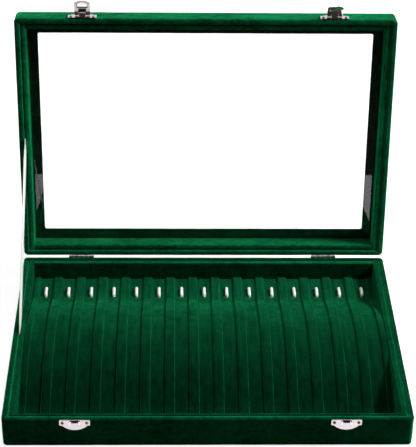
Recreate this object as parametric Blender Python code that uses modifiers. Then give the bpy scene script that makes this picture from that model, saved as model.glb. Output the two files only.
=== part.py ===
"""Necklace organizer box: a velvet-covered case with a glazed lid, shown open.

Inside the base lies an arched insert with ribs between fifteen channels, and a hook for each
channel. Two hasps close the front, two butt hinges join the lid and a ribbon stays it.

Frame: X is the width, Y runs from front to back and Z is up. The origin is the centre of the
underside. Lengths are in metres. The lid's pieces are built closed, then turned on its axis.
"""
import math

import bmesh
import bpy
from mathutils import Matrix, Vector

# Case
box_width = 0.350
box_depth = 0.240
base_height = 0.0293
lid_height = 0.022
wall_thickness = 0.0052
plan_corner_radius = 0.0025
pocket_corner_radius = 0.0015
rim_round = 0.0015
foot_round = 0.0012
lid_top_round = 0.0022
rim_gap = 0.0004
fit_gap = 0.0003
overrun = 0.001
lid_open_degrees = 98.2

# Bottom board and the rebate that holds it
board_thickness = 0.003
board_rebate = 0.0026

# Liner strips, which stand in a narrow groove's width off the walls
groove_width = 0.0009
liner_thickness = 0.0044
liner_round = 0.0013
lid_liner_recess = 0.0015

# Glazed top of the lid
frame_border = 0.0195
frame_flange = 0.0024
window_corner_radius = 0.004
window_round = 0.001
glass_thickness = 0.002

# Ribbed insert: a folded board with a back shelf, an arch and a front toe
insert_thickness = 0.0024
shelf_height = 0.011
toe_height = 0.008
shelf_depth = 0.0384
arch_height = 0.0279
arch_centre_y = -0.001
channel_count = 15
rib_width = 0.0082
end_rib_width = 0.00555
rib_height = 0.0016
rib_root = 0.0006
rib_inset = 0.0006

# Hooks
hook_radius = 0.0014
hook_clearance = 0.0016
hook_bend_radius = 0.0022
hook_leg_inset = 0.0303
hook_length = 0.0155

# Hasps
hasp_inset = 0.060
hasp_shift = 0.0021
plate_width = 0.026
plate_thickness = 0.0008
plate_arc_width = 0.021
plate_corner = 0.0009
plate_shoulder = 0.0004
plate_rim_offset = 0.0001
latch_plate_height = 0.0118
latch_ear_height = 0.0080
catch_plate_height = 0.0105
catch_ear_height = 0.0055
nail_inset = 0.0027
nail_height = 0.0028
flap_width = 0.0144
flap_length = 0.0138
flap_thickness = 0.0008
flap_corner = 0.0018
flap_axis_height = 0.0055
flap_knuckle_radius = 0.0015
flap_knuckle_width = 0.006
flap_play = 0.0003
flap_open_degrees = {"left": 71.0, "right": 48.0}
pocket_half_width = 0.0050
pocket_start = 0.0069
pocket_straight = 0.0028
pocket_arc = 0.0030
pocket_depth = 0.0014
pocket_wall = 0.0006
ridge_width = 0.007
ridge_start = 0.0024
ridge_pitch = 0.0012
ridge_count = 3
ridge_depth = 0.0004
ridge_sheet = 0.0005
loop_half_width = 0.0046
loop_depth = 0.0023
loop_wall = 0.0008
loop_height = 0.0040
loop_drop = 0.0015
slot_half_width = 0.0033
slot_margin = 0.0006

# Butt hinges
hinge_inset = 0.057
hinge_shift = -0.0013
hinge_width = 0.024
hinge_mortise = 0.0009
hinge_leaf_height = 0.0095
hinge_sheet = 0.0006
hinge_roll_radius = 0.0014
hinge_knuckles = 5
hinge_roll_end = -110.0
pin_radius = 0.0005

# Nails
nail_head_radius = 0.0014
nail_head_height = 0.0007
nail_shank_radius = 0.0005
nail_length = 0.0038

# Stay ribbon on the left
ribbon_width = 0.010
ribbon_thickness = 0.0003
ribbon_anchor_y = -0.002
ribbon_tuck = 0.005

# Smoothness of the round shapes
corner_steps = 6
round_steps = 3
arch_steps = 16
plate_steps = 12
bend_steps = 4
turned_steps = 10
pin_sides = 12
knuckle_sides = 16
wave_steps = 6

# Places that follow from the sizes
half_width = box_width / 2
half_depth = box_depth / 2
board_top = board_thickness + fit_gap
lid_rim_z = base_height + rim_gap
lid_top_z = lid_rim_z + lid_height
glass_top_z = lid_top_z - frame_flange - fit_gap
glass_low_z = glass_top_z - glass_thickness
lid_liner_low_z = lid_rim_z + lid_liner_recess
liner_outer_inset = wall_thickness + groove_width
liner_inner_inset = liner_outer_inset + liner_thickness
insert_half_width = half_width - liner_inner_inset - fit_gap
insert_half_depth = half_depth - liner_inner_inset - fit_gap
arch_half_chord = insert_half_depth - shelf_depth - arch_centre_y
arch_rise = arch_height - shelf_height
arch_radius = (arch_half_chord ** 2 + arch_rise ** 2) / (2 * arch_rise)
arch_centre_z = arch_height - arch_radius
channel_pitch = (2 * (insert_half_width - end_rib_width) + rib_width) / channel_count
hook_leg_y = insert_half_depth - hook_leg_inset
hasp_offset = half_width - hasp_inset
hinge_offset = half_width - hinge_inset
hinge_back_y = half_depth - hinge_mortise + fit_gap
hinge_axis = Vector((0, hinge_back_y + hinge_roll_radius, base_height + rim_gap / 2))
plate_outer_y = -half_depth - fit_gap - plate_thickness
flap_axis_y = plate_outer_y - fit_gap - flap_knuckle_radius
flap_axis_z = lid_rim_z + flap_axis_height
catch_top_z = base_height - plate_rim_offset
latch_low_z = lid_rim_z + plate_rim_offset

velvet_green = (0.006, 0.075, 0.032, 1)
insert_green = (0.005, 0.062, 0.027, 1)
nickel = (0.72, 0.70, 0.68, 1)
dark_nickel = (0.30, 0.29, 0.28, 1)
hook_white = (0.86, 0.86, 0.84, 1)
ribbon_white = (0.85, 0.86, 0.85, 1)
glass_tint = (0.92, 0.95, 0.94, 0.25)


def clear_scene():
    for item in list(bpy.data.objects):
        bpy.data.objects.remove(item, do_unlink=True)


def new_collection(name):
    collection = bpy.data.collections.new(name)
    bpy.context.scene.collection.children.link(collection)
    return collection


def new_material(name, colour, roughness, metallic=0.0):
    material = bpy.data.materials.new(name)
    material.use_nodes = True
    shader = material.node_tree.nodes["Principled BSDF"]
    shader.inputs["Base Color"].default_value = colour
    shader.inputs["Roughness"].default_value = roughness
    shader.inputs["Metallic"].default_value = metallic
    return material


clear_scene()
parts = new_collection("necklace_organizer_box")
cutters = new_collection("cutters")
velvet = new_material("velvet", velvet_green, 0.9)
insert_velvet = new_material("insert_velvet", insert_green, 0.9)
bright_metal = new_material("bright_metal", nickel, 0.22, 1.0)
hinge_metal = new_material("hinge_metal", dark_nickel, 0.35, 1.0)
white_plastic = new_material("white_plastic", hook_white, 0.35)
ribbon_satin = new_material("ribbon_satin", ribbon_white, 0.5)
clear_glass = new_material("clear_glass", glass_tint, 0.03)


def add_object(name, mesh, material=None):
    """Put a mesh in the parts with its material, or in the cutters without one."""
    item = bpy.data.objects.new(name, mesh)
    if material is None:
        cutters.objects.link(item)
        item.hide_render = True
        item.display_type = "WIRE"
        return item
    parts.objects.link(item)
    mesh.materials.clear()
    mesh.materials.append(material)
    return item


def mesh_from_bmesh(name, builder):
    mesh = bpy.data.meshes.new(name)
    bmesh.ops.recalc_face_normals(builder, faces=builder.faces)
    builder.to_mesh(mesh)
    builder.free()
    return mesh


def arc(centre, radius, start_degrees, end_degrees, steps, squash=1.0):
    """Points on an arc in a plane; squash scales its second axis."""
    points = []
    for step in range(steps + 1):
        angle = math.radians(start_degrees + (end_degrees - start_degrees) * step / steps)
        points.append((centre[0] + radius * math.cos(angle),
                       centre[1] + radius * math.sin(angle) * squash))
    return points


# The way an outline's two axes and its thickness lie in space
PLANES = {
    "XY": Matrix.Identity(4),
    "YZ": Matrix(((0, 0, 1, 0), (1, 0, 0, 0), (0, 1, 0, 0), (0, 0, 0, 1))),
    "XZ": Matrix(((1, 0, 0, 0), (0, 0, -1, 0), (0, 1, 0, 0), (0, 0, 0, 1))),
}


def outline_mesh(name, outline, thickness, plane, centre):
    """A flat outline made solid, its mid-plane passing through the centre."""
    curve = bpy.data.curves.new(name, "CURVE")
    curve.dimensions = "2D"
    curve.fill_mode = "BOTH"
    curve.extrude = thickness / 2
    spline = curve.splines.new("POLY")
    spline.points.add(len(outline) - 1)
    for point, (u, v) in zip(spline.points, outline):
        point.co = (u, v, 0, 1)
    spline.use_cyclic_u = True
    holder = bpy.data.objects.new(name, curve)
    cutters.objects.link(holder)
    evaluated = holder.evaluated_get(bpy.context.evaluated_depsgraph_get())
    raw = bpy.data.meshes.new_from_object(evaluated)
    builder = bmesh.new()
    builder.from_mesh(raw)
    bmesh.ops.remove_doubles(builder, verts=builder.verts, dist=fit_gap / 100)
    bmesh.ops.transform(builder, matrix=Matrix.Translation(centre) @ PLANES[plane],
                        verts=builder.verts)
    bpy.data.objects.remove(holder)
    bpy.data.meshes.remove(raw)
    return mesh_from_bmesh(name, builder)


def box_mesh(name, low, high):
    builder = bmesh.new()
    size = Vector(high) - Vector(low)
    matrix = Matrix.Translation((Vector(low) + Vector(high)) / 2) @ Matrix.Diagonal((*size, 1))
    bmesh.ops.create_cube(builder, size=1, matrix=matrix)
    return mesh_from_bmesh(name, builder)


def rod_mesh(name, start, end, radius, sides):
    """A cylinder from one point to another."""
    start, end = Vector(start), Vector(end)
    turn = (end - start).to_track_quat("Z", "Y").to_matrix().to_4x4()
    builder = bmesh.new()
    bmesh.ops.create_cone(builder, cap_ends=True, segments=sides, radius1=radius, radius2=radius,
                          depth=(end - start).length,
                          matrix=Matrix.Translation((start + end) / 2) @ turn)
    return mesh_from_bmesh(name, builder)


def joined_mesh(name, meshes):
    """Separate bodies in one mesh, for use as a Boolean's operand."""
    builder = bmesh.new()
    for mesh in meshes:
        builder.from_mesh(mesh)
        bpy.data.meshes.remove(mesh)
    joined = bpy.data.meshes.new(name)
    builder.to_mesh(joined)
    builder.free()
    return joined


def combine(item, operand_mesh, operation):
    """Cut or join a mesh by a live Boolean, its operand kept with the cutters."""
    operand = add_object(operand_mesh.name, operand_mesh)
    modifier = item.modifiers.new(operand.name, "BOOLEAN")
    modifier.operation = operation
    modifier.solver = "EXACT"
    modifier.object = operand
    return operand


def pivot(name, point, degrees, parent=None, parent_point=None):
    """An empty on a joint's axis, turned about X from the closed pose."""
    empty = bpy.data.objects.new(name, None)
    parts.objects.link(empty)
    empty.location = point
    empty.rotation_euler = (math.radians(degrees), 0, 0)
    if parent is not None:
        empty.parent = parent
        empty.matrix_parent_inverse = Matrix.Translation(-parent_point)
    return empty


def hang(item, empty, point):
    """Carry a piece, built in the closed pose, and its cutters on a pivot."""
    carried = [item] + [modifier.object for modifier in item.modifiers
                        if modifier.type == "BOOLEAN"]
    for thing in carried:
        thing.parent = empty
        thing.matrix_parent_inverse = Matrix.Translation(-point)


def rounded_rectangle(half_x, half_y, radius):
    points = []
    for quarter, (side_x, side_y) in enumerate(((1, 1), (-1, 1), (-1, -1), (1, -1))):
        centre = (side_x * (half_x - radius), side_y * (half_y - radius))
        points += arc(centre, radius, quarter * 90, quarter * 90 + 90, corner_steps)
    return points


def frame_mesh(name, section):
    """A section carried round the case; each point is its inset, height and corner radius."""
    builder = bmesh.new()
    loops = []
    for inset, height, radius in section:
        ring = rounded_rectangle(half_width - inset, half_depth - inset, radius)
        loops.append([builder.verts.new((x, y, height)) for x, y in ring])
    for lower, upper in zip(loops, loops[1:] + loops[:1]):
        for index, corner in enumerate(lower):
            after = (index + 1) % len(lower)
            builder.faces.new((corner, lower[after], upper[after], upper[index]))
    return mesh_from_bmesh(name, builder)


def wall_radius(inset):
    return max(plan_corner_radius - inset, pocket_corner_radius)


def wall_points(points):
    return [(inset, height, wall_radius(inset)) for inset, height in points]


def base_wall_frame():
    flat = wall_thickness - rim_round
    points = arc((foot_round, foot_round), foot_round, 270, 180, round_steps)
    points += arc((rim_round, base_height - rim_round), rim_round, 180, 90, round_steps)
    points += arc((flat, base_height - rim_round), rim_round, 90, 0, round_steps)
    points += [(wall_thickness, board_top), (board_rebate, board_top), (board_rebate, 0)]
    mesh = frame_mesh("base_wall_frame", wall_points(points))
    return add_object("base_wall_frame", mesh, velvet)


def base_bottom_board():
    inset = board_rebate + fit_gap
    outline = rounded_rectangle(half_width - inset, half_depth - inset, wall_radius(inset))
    mesh = outline_mesh("base_bottom_board", outline, board_thickness, "XY",
                        (0, 0, board_thickness / 2))
    return add_object("base_bottom_board", mesh, velvet)


def strip_section(low, high, rounded_end):
    """A liner strip's section across its thickness, round along one long edge."""
    half = liner_thickness / 2
    inner = half - liner_round
    if rounded_end == "high":
        corners = arc((inner, high - liner_round), liner_round, 0, 90, round_steps)
        corners += arc((-inner, high - liner_round), liner_round, 90, 180, round_steps)
        return [(-half, low), (half, low)] + corners
    corners = arc((-inner, low + liner_round), liner_round, 180, 270, round_steps)
    corners += arc((inner, low + liner_round), liner_round, 270, 360, round_steps)
    return corners + [(half, high), (-half, high)]


def liner_strips(prefix, low, high, rounded_end):
    """The side strips run from wall to wall, and the front and back ones between them."""
    section = strip_section(low, high, rounded_end)
    middle = liner_outer_inset + liner_thickness / 2
    side_length = box_depth - 2 * (wall_thickness + fit_gap)
    cross_length = 2 * insert_half_width
    strips = []
    for side, name in ((-1, "left"), (1, "right")):
        mesh = outline_mesh(f"{prefix}_{name}", section, side_length, "XZ",
                            (side * (half_width - middle), 0, 0))
        strips.append(add_object(f"{prefix}_{name}", mesh, velvet))
    for side, name in ((-1, "front"), (1, "back")):
        mesh = outline_mesh(f"{prefix}_{name}", section, cross_length, "YZ",
                            (0, side * (half_depth - middle), 0))
        strips.append(add_object(f"{prefix}_{name}", mesh, velvet))
    return strips


def crease_y(height, radius):
    """How far from the arch's middle a flat of this height meets it."""
    return math.sqrt(radius ** 2 - (height - arch_centre_z) ** 2)


def insert_path(offset):
    """The insert's upper line from back to front, raised by an offset."""
    radius = arch_radius + offset
    back = crease_y(shelf_height + offset, radius)
    front = crease_y(toe_height + offset, radius)
    start = math.degrees(math.acos(back / radius))
    end = 180 - math.degrees(math.acos(front / radius))
    return arc((arch_centre_y, arch_centre_z), radius, start, end, arch_steps)


def insert_section():
    end = insert_half_depth
    inner_end = end - insert_thickness
    upper = [(end, board_top), (end, shelf_height)] + insert_path(0)
    upper += [(-end, toe_height), (-end, board_top)]
    lower_shelf = shelf_height - insert_thickness
    lower_toe = toe_height - insert_thickness
    lower = [(-inner_end, board_top), (-inner_end, lower_toe)]
    lower += insert_path(-insert_thickness)[::-1]
    lower += [(inner_end, lower_shelf), (inner_end, board_top)]
    return upper + lower


def rib_section():
    end = insert_half_depth - rib_inset
    upper = [(end, shelf_height + rib_height)] + insert_path(rib_height)
    upper += [(-end, toe_height + rib_height)]
    lower = [(-end, toe_height - rib_root)] + insert_path(-rib_root)[::-1]
    lower += [(end, shelf_height - rib_root)]
    return upper + lower


def channel_x(index):
    return (index - (channel_count - 1) / 2) * channel_pitch


def rib_spans():
    """Left and right sides of every rib, with a narrow one along each end."""
    edge = insert_half_width - rib_inset
    channel_half = (channel_pitch - rib_width) / 2
    lefts = [-edge] + [channel_x(index) + channel_half for index in range(channel_count)]
    rights = [channel_x(index) - channel_half for index in range(channel_count)] + [edge]
    return list(zip(lefts, rights))


def ribbed_insert():
    mesh = outline_mesh("ribbed_insert", insert_section(), 2 * insert_half_width, "YZ", (0, 0, 0))
    item = add_object("ribbed_insert", mesh, insert_velvet)
    hole_radius = (hook_radius + fit_gap) / math.cos(math.pi / pin_sides)
    holes = [rod_mesh("hole", (channel_x(index), hook_leg_y, board_top),
                      (channel_x(index), hook_leg_y, arch_height), hole_radius, pin_sides)
             for index in range(channel_count)]
    combine(item, joined_mesh("hook_holes", holes), "DIFFERENCE")
    section = rib_section()
    ribs = [outline_mesh("rib", section, right - left, "YZ", ((left + right) / 2, 0, 0))
            for left, right in rib_spans()]
    combine(item, joined_mesh("insert_ribs", ribs), "UNION")
    return item


def hook_route():
    """Up through the shelf, round a bend and back over it, with the radius at each point."""
    bar_z = shelf_height + hook_clearance + hook_radius
    tip_y = hook_leg_y - hook_radius + hook_length
    foot_z = shelf_height - insert_thickness
    route = [(hook_leg_y, foot_z)]
    route += arc((hook_leg_y + hook_bend_radius, bar_z - hook_bend_radius), hook_bend_radius,
                 180, 90, bend_steps)
    radii = [1.0] * len(route)
    for along, share in arc((0, 0), 1, 90, 10, bend_steps):
        route.append((tip_y - hook_radius * (1 - along), bar_z))
        radii.append(share)
    return route, radii


def chain_hooks():
    route, radii = hook_route()
    curve = bpy.data.curves.new("chain_hook", "CURVE")
    curve.dimensions = "3D"
    curve.bevel_depth = hook_radius
    curve.bevel_resolution = 2
    curve.use_fill_caps = True
    spline = curve.splines.new("POLY")
    spline.points.add(len(route) - 1)
    for point, (y, z), radius in zip(spline.points, route, radii):
        point.co = (0, y, z, 1)
        point.radius = radius
    curve.materials.append(white_plastic)
    hooks = []
    for index in range(channel_count):
        hook = bpy.data.objects.new(f"chain_hook_{index + 1:02d}", curve)
        hook.location.x = channel_x(index)
        parts.objects.link(hook)
        hooks.append(hook)
    return hooks


def lid_frame():
    flat = wall_thickness - rim_round
    rim = lid_rim_z + rim_round
    crown = lid_top_z - lid_top_round
    points = arc((rim_round, rim), rim_round, 270, 180, round_steps)
    points += arc((lid_top_round, crown), lid_top_round, 180, 90, round_steps)
    section = wall_points(points)
    window = arc((frame_border - window_round, lid_top_z - window_round), window_round,
                 90, 0, round_steps)
    window += [(frame_border, lid_top_z - frame_flange)]
    section += [(inset, height, window_corner_radius) for inset, height in window]
    inner = [(wall_thickness, lid_top_z - frame_flange)]
    inner += arc((flat, rim), rim_round, 0, -90, round_steps)
    section += wall_points(inner)
    return add_object("lid_frame", frame_mesh("lid_frame", section), velvet)


def lid_glass():
    half_x = half_width - wall_thickness - fit_gap
    half_y = half_depth - wall_thickness - fit_gap
    outline = rounded_rectangle(half_x, half_y, pocket_corner_radius)
    mesh = outline_mesh("lid_glass", outline, glass_thickness, "XY",
                        (0, 0, (glass_low_z + glass_top_z) / 2))
    return add_object("lid_glass", mesh, clear_glass)


def nail_mesh():
    """A round-headed nail, its head along +Z and the seat of the head at the origin."""
    mesh = bpy.data.meshes.new("nail_profile")
    crown = arc((0, 0), nail_head_radius, 90, 0, round_steps,
                squash=nail_head_height / nail_head_radius)
    profile = [(0, nail_head_height)] + crown[1:]
    profile += [(nail_shank_radius, 0), (nail_shank_radius, -nail_length), (0, -nail_length)]
    edges = [(index, index + 1) for index in range(len(profile) - 1)]
    mesh.from_pydata([(x, 0, z) for x, z in profile], edges, [])
    holder = bpy.data.objects.new("nail_profile", mesh)
    cutters.objects.link(holder)
    screw = holder.modifiers.new("turn", "SCREW")
    screw.steps = screw.render_steps = turned_steps
    screw.use_merge_vertices = True
    screw.merge_threshold = fit_gap / 100
    screw.use_normal_calculate = True
    evaluated = holder.evaluated_get(bpy.context.evaluated_depsgraph_get())
    turned = bpy.data.meshes.new_from_object(evaluated)
    bpy.data.objects.remove(holder)
    builder = bmesh.new()
    builder.from_mesh(turned)
    bmesh.ops.remove_doubles(builder, verts=builder.verts, dist=fit_gap / 100)
    bpy.data.meshes.remove(turned)
    return mesh_from_bmesh("nail", builder)


def add_nail(name, mesh, seat, back, material):
    """Drive a nail at its seat, its head to the front or to the back of the case."""
    nail = add_object(name, mesh, material)
    nail.location = seat
    nail.rotation_euler.x = math.radians(-90 if back else 90)
    return nail


def nail_hole(seat, back):
    """The hole round a nail's shank, through its plate and into the wall."""
    side = 1 if back else -1
    start = Vector(seat) + Vector((0, side * overrun, 0))
    end = Vector(seat) - Vector((0, side * (nail_length + fit_gap), 0))
    radius = (nail_shank_radius + fit_gap) / math.cos(math.pi / pin_sides)
    return rod_mesh("nail_hole", start, end, radius, pin_sides)


def plate_outline(height, ear_height, edge_z, upward):
    """A plate with a straight edge and ears by the rim, and a round far side."""
    half = plate_width / 2
    half_chord = plate_arc_width / 2
    depth = height - ear_height - plate_shoulder
    radius = (half_chord ** 2 + depth ** 2) / (2 * depth)
    spread = math.degrees(math.asin(half_chord / radius))
    low, high = plate_corner, ear_height - plate_corner
    points = arc((half - plate_corner, low), plate_corner, 270, 360, round_steps)
    points += arc((half - plate_corner, high), plate_corner, 0, 90, round_steps)
    points += arc((0, height - radius), radius, 90 - spread, 90 + spread, plate_steps)
    points += arc((plate_corner - half, high), plate_corner, 90, 180, round_steps)
    points += arc((plate_corner - half, low), plate_corner, 180, 270, round_steps)
    sign = 1 if upward else -1
    return [(x, edge_z + sign * v) for x, v in points]


def plate_mesh(name, outline, centre_x):
    y = -half_depth - fit_gap - plate_thickness / 2
    return outline_mesh(name, outline, plate_thickness, "XZ", (centre_x, y, 0))


def plate_nail_seats(centre_x, edge_z, upward):
    offset = plate_width / 2 - nail_inset
    z = edge_z + (nail_height if upward else -nail_height)
    return [(centre_x + side * offset, plate_outer_y - fit_gap, z) for side in (-1, 1)]


def half_ellipse(half_width_u, depth_v, steps):
    return arc((0, 0), half_width_u, 180, 360, steps, squash=depth_v / half_width_u)


def catch_plate(side, centre_x):
    """The catch on the base: a plate with a raised loop, open at the top, over a slot."""
    name = f"catch_plate_{side}"
    outline = plate_outline(catch_plate_height, catch_ear_height, catch_top_z, upward=False)
    item = add_object(name, plate_mesh(name, outline, centre_x), bright_metal)
    root = plate_thickness / 2
    outer = [(loop_half_width, root)] + [(-loop_half_width, root)]
    outer += half_ellipse(loop_half_width, loop_depth, plate_steps)
    inner_half = loop_half_width - loop_wall
    inner = half_ellipse(inner_half, loop_depth - loop_wall, plate_steps)[::-1]
    ring = outer[1:] + [(loop_half_width, root), (inner_half, root)] + inner
    ring += [(-inner_half, root)]
    loop_top = catch_top_z - loop_drop
    loop = outline_mesh(f"{name}_loop", ring, loop_height, "XY",
                        (centre_x, plate_outer_y, loop_top - loop_height / 2))
    combine(item, loop, "UNION")
    slot_high = loop_top - slot_margin
    slot_low = loop_top - loop_height + slot_margin
    slot = box_mesh("slot", (centre_x - slot_half_width, plate_outer_y - fit_gap, slot_low),
                    (centre_x + slot_half_width, -half_depth + overrun, slot_high))
    seats = plate_nail_seats(centre_x, catch_top_z, upward=False)
    holes = [nail_hole(seat, back=False) for seat in seats]
    combine(item, joined_mesh(f"{name}_holes", [slot] + holes), "DIFFERENCE")
    return item, seats


def latch_plate(side, centre_x):
    """The plate on the lid, with the middle knuckle that carries the flap's pin."""
    name = f"latch_plate_{side}"
    outline = plate_outline(latch_plate_height, latch_ear_height, latch_low_z, upward=True)
    item = add_object(name, plate_mesh(name, outline, centre_x), bright_metal)
    half = flap_knuckle_width / 2
    rise = arc((flap_axis_y, flap_axis_z), flap_knuckle_radius, 90, 270, knuckle_sides // 2)
    root_y = plate_outer_y + plate_thickness / 2
    lug_outline = rise + [(root_y, flap_axis_z - flap_knuckle_radius),
                          (root_y, flap_axis_z + flap_knuckle_radius)]
    lug = outline_mesh(f"{name}_lug", lug_outline, flap_knuckle_width, "YZ", (centre_x, 0, 0))
    combine(item, lug, "UNION")
    bore_radius = (pin_radius + fit_gap) / math.cos(math.pi / pin_sides)
    bore = rod_mesh("bore", (centre_x - half - overrun, flap_axis_y, flap_axis_z),
                    (centre_x + half + overrun, flap_axis_y, flap_axis_z), bore_radius, pin_sides)
    seats = plate_nail_seats(centre_x, latch_low_z, upward=True)
    holes = [nail_hole(seat, back=False) for seat in seats]
    combine(item, joined_mesh(f"{name}_holes", [bore] + holes), "DIFFERENCE")
    return item, seats


def flap_outline():
    """The flap's sheet, with a notch round the plate's knuckle and two round corners."""
    half = flap_width / 2
    notch = flap_knuckle_width / 2 + flap_play
    notch_low = flap_axis_z - flap_knuckle_radius - flap_play
    low = flap_axis_z - flap_length
    points = arc((flap_corner - half, low + flap_corner), flap_corner, 180, 270, round_steps)
    points += arc((half - flap_corner, low + flap_corner), flap_corner, 270, 360, round_steps)
    return points + [(half, flap_axis_z), (notch, flap_axis_z), (notch, notch_low),
                     (-notch, notch_low), (-notch, flap_axis_z), (-half, flap_axis_z)]


def arched_outline(margin):
    """A straight-topped arch, its round side towards the flap's free end."""
    top = flap_axis_z - pocket_start + margin
    spring = flap_axis_z - pocket_start - pocket_straight
    half = pocket_half_width + margin
    curve = arc((0, spring), half, 180, 360, knuckle_sides // 2,
                squash=(pocket_arc + margin) / half)
    return [(half, top), (-half, top)] + curve


def ridge_strip(name, centre_x):
    """A strip pressed into waves, which fills the window above the pocket."""
    top = flap_axis_z - ridge_start
    length = ridge_pitch * ridge_count
    steps = wave_steps * ridge_count
    front, rear = [], []
    for step in range(steps + 1):
        z = top - length * step / steps
        wave = ridge_depth * math.sin(math.tau * ridge_count * step / steps)
        front.append((flap_axis_y - ridge_sheet / 2 + wave, z))
        rear.append((flap_axis_y + ridge_sheet / 2 + wave, z))
    return outline_mesh(name, front + rear[::-1], ridge_width, "YZ", (centre_x, 0, 0))


def latch_flap(side, centre_x):
    """The hasp's flap: a sheet with two knuckles, a ridged strip and an arched pocket."""
    name = f"latch_flap_{side}"
    item = add_object(name, outline_mesh(name, flap_outline(), flap_thickness, "XZ",
                                         (centre_x, flap_axis_y, 0)), bright_metal)
    play = ridge_sheet / 2
    window_top = flap_axis_z - ridge_start - play
    window_low = flap_axis_z - ridge_start - ridge_pitch * ridge_count + play
    half = ridge_width / 2 - play
    window = box_mesh(f"{name}_window", (centre_x - half, flap_axis_y - overrun, window_low),
                      (centre_x + half, flap_axis_y + overrun, window_top))
    combine(item, window, "DIFFERENCE")
    inner_x, outer_x = flap_knuckle_width / 2 + flap_play, flap_width / 2 - flap_play
    added = [rod_mesh("knuckle", (centre_x + way * inner_x, flap_axis_y, flap_axis_z),
                      (centre_x + way * outer_x, flap_axis_y, flap_axis_z),
                      flap_knuckle_radius, knuckle_sides) for way in (-1, 1)]
    inner_face = flap_axis_y + flap_thickness / 2
    boss_low = inner_face - pocket_depth - pocket_wall
    boss_high = flap_axis_y + flap_thickness / 4
    added.append(outline_mesh("boss", arched_outline(pocket_wall), boss_high - boss_low, "XZ",
                              (centre_x, (boss_low + boss_high) / 2, 0)))
    added.append(ridge_strip("ridges", centre_x))
    combine(item, joined_mesh(f"{name}_added", added), "UNION")
    bore_radius = (pin_radius + fit_gap) / math.cos(math.pi / pin_sides)
    bore = rod_mesh("bore", (centre_x - flap_width, flap_axis_y, flap_axis_z),
                    (centre_x + flap_width, flap_axis_y, flap_axis_z), bore_radius, pin_sides)
    pocket = outline_mesh("pocket", arched_outline(0), pocket_depth + overrun, "XZ",
                          (centre_x, inner_face + (overrun - pocket_depth) / 2, 0))
    combine(item, joined_mesh(f"{name}_cut", [bore, pocket]), "DIFFERENCE")
    return item


def hinge_section(upward):
    """A leaf's sheet beside the wall, rolled into a knuckle round the axis."""
    axis_y, axis_z = hinge_axis.y, hinge_axis.z
    inner_radius = hinge_roll_radius - hinge_sheet
    outer = arc((0, 0), hinge_roll_radius, 180, hinge_roll_end, knuckle_sides)
    inner = arc((0, 0), inner_radius, hinge_roll_end, 180, knuckle_sides)
    points = [(-hinge_roll_radius, -hinge_leaf_height)] + outer + inner
    points += [(-inner_radius, -hinge_leaf_height)]
    sign = -1 if upward else 1
    return [(axis_y + y, axis_z + sign * z) for y, z in points]


def hinge_leaf(name, centre_x, upward, material):
    """One leaf; the base has the odd knuckles and the lid has the even ones."""
    item = add_object(name, outline_mesh(name, hinge_section(upward), hinge_width, "YZ",
                                         (centre_x, 0, 0)), material)
    knuckle = hinge_width / hinge_knuckles
    reach = hinge_roll_radius + fit_gap
    notches = []
    for index in range(hinge_knuckles):
        if (index % 2 == 1) == upward:
            continue
        start = centre_x - hinge_width / 2 + index * knuckle
        low_x = start - (fit_gap / 2 if index > 0 else overrun)
        high_x = start + knuckle + (fit_gap / 2 if index < hinge_knuckles - 1 else overrun)
        notches.append(box_mesh("notch", (low_x, hinge_axis.y - reach, hinge_axis.z - reach),
                                (high_x, hinge_axis.y + reach, hinge_axis.z + reach)))
    sign = 1 if upward else -1
    nail_z = hinge_axis.z + sign * (hinge_leaf_height + reach) / 2
    seat_y = hinge_back_y + hinge_sheet + fit_gap
    seats = [(centre_x + side * knuckle * 3 / 2, seat_y, nail_z) for side in (-1, 1)]
    holes = [nail_hole(seat, back=True) for seat in seats]
    combine(item, joined_mesh(f"{name}_cut", notches + holes), "DIFFERENCE")
    return item, seats


def hinge_mortises(upward):
    """The shallow recesses that let the leaves into the wall, open at the rim."""
    half = hinge_width / 2 + fit_gap
    if upward:
        low, high = lid_rim_z - overrun, hinge_axis.z + hinge_leaf_height + fit_gap
    else:
        low, high = hinge_axis.z - hinge_leaf_height - fit_gap, base_height + overrun
    recesses = []
    for way in (-1, 1):
        centre_x = way * hinge_offset + hinge_shift
        recesses.append(box_mesh("mortise", (centre_x - half, half_depth - hinge_mortise, low),
                                 (centre_x + half, half_depth + overrun, high)))
    return recesses


def pin(name, centre_x, y, z, length, material):
    mesh = rod_mesh(name, (centre_x - length / 2, y, z), (centre_x + length / 2, y, z),
                    pin_radius, pin_sides)
    return add_object(name, mesh, material)


def on_open_lid(point):
    turn = Matrix.Rotation(math.radians(-lid_open_degrees), 4, "X")
    return hinge_axis + turn @ (Vector(point) - hinge_axis)


def stay_ribbon():
    """A taut ribbon, glued into the grooves beside the left liner strips."""
    x = -half_width + wall_thickness + groove_width / 2
    start = Vector((x, ribbon_anchor_y, base_height))
    end = on_open_lid((x, ribbon_anchor_y, lid_rim_z))
    along = (end - start).normalized()
    start, end = start - along * ribbon_tuck, end + along * ribbon_tuck
    across = Vector((1, 0, 0)).cross(along) * ribbon_width / 2
    corners = [start - across, end - across, end + across, start + across]
    outline = [(corner.y, corner.z) for corner in corners]
    mesh = outline_mesh("stay_ribbon", outline, ribbon_thickness, "YZ", (x, 0, 0))
    return add_object("stay_ribbon", mesh, ribbon_satin)


def build_base():
    wall = base_wall_frame()
    base_bottom_board()
    liner_strips("base_liner", board_top, base_height, "high")
    ribbed_insert()
    chain_hooks()
    return wall


def build_lid(lid_pivot):
    frame = lid_frame()
    pieces = [lid_glass()]
    pieces += liner_strips("lid_liner", lid_liner_low_z, glass_low_z - fit_gap, "low")
    for piece in pieces:
        hang(piece, lid_pivot, hinge_axis)
    return frame


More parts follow.
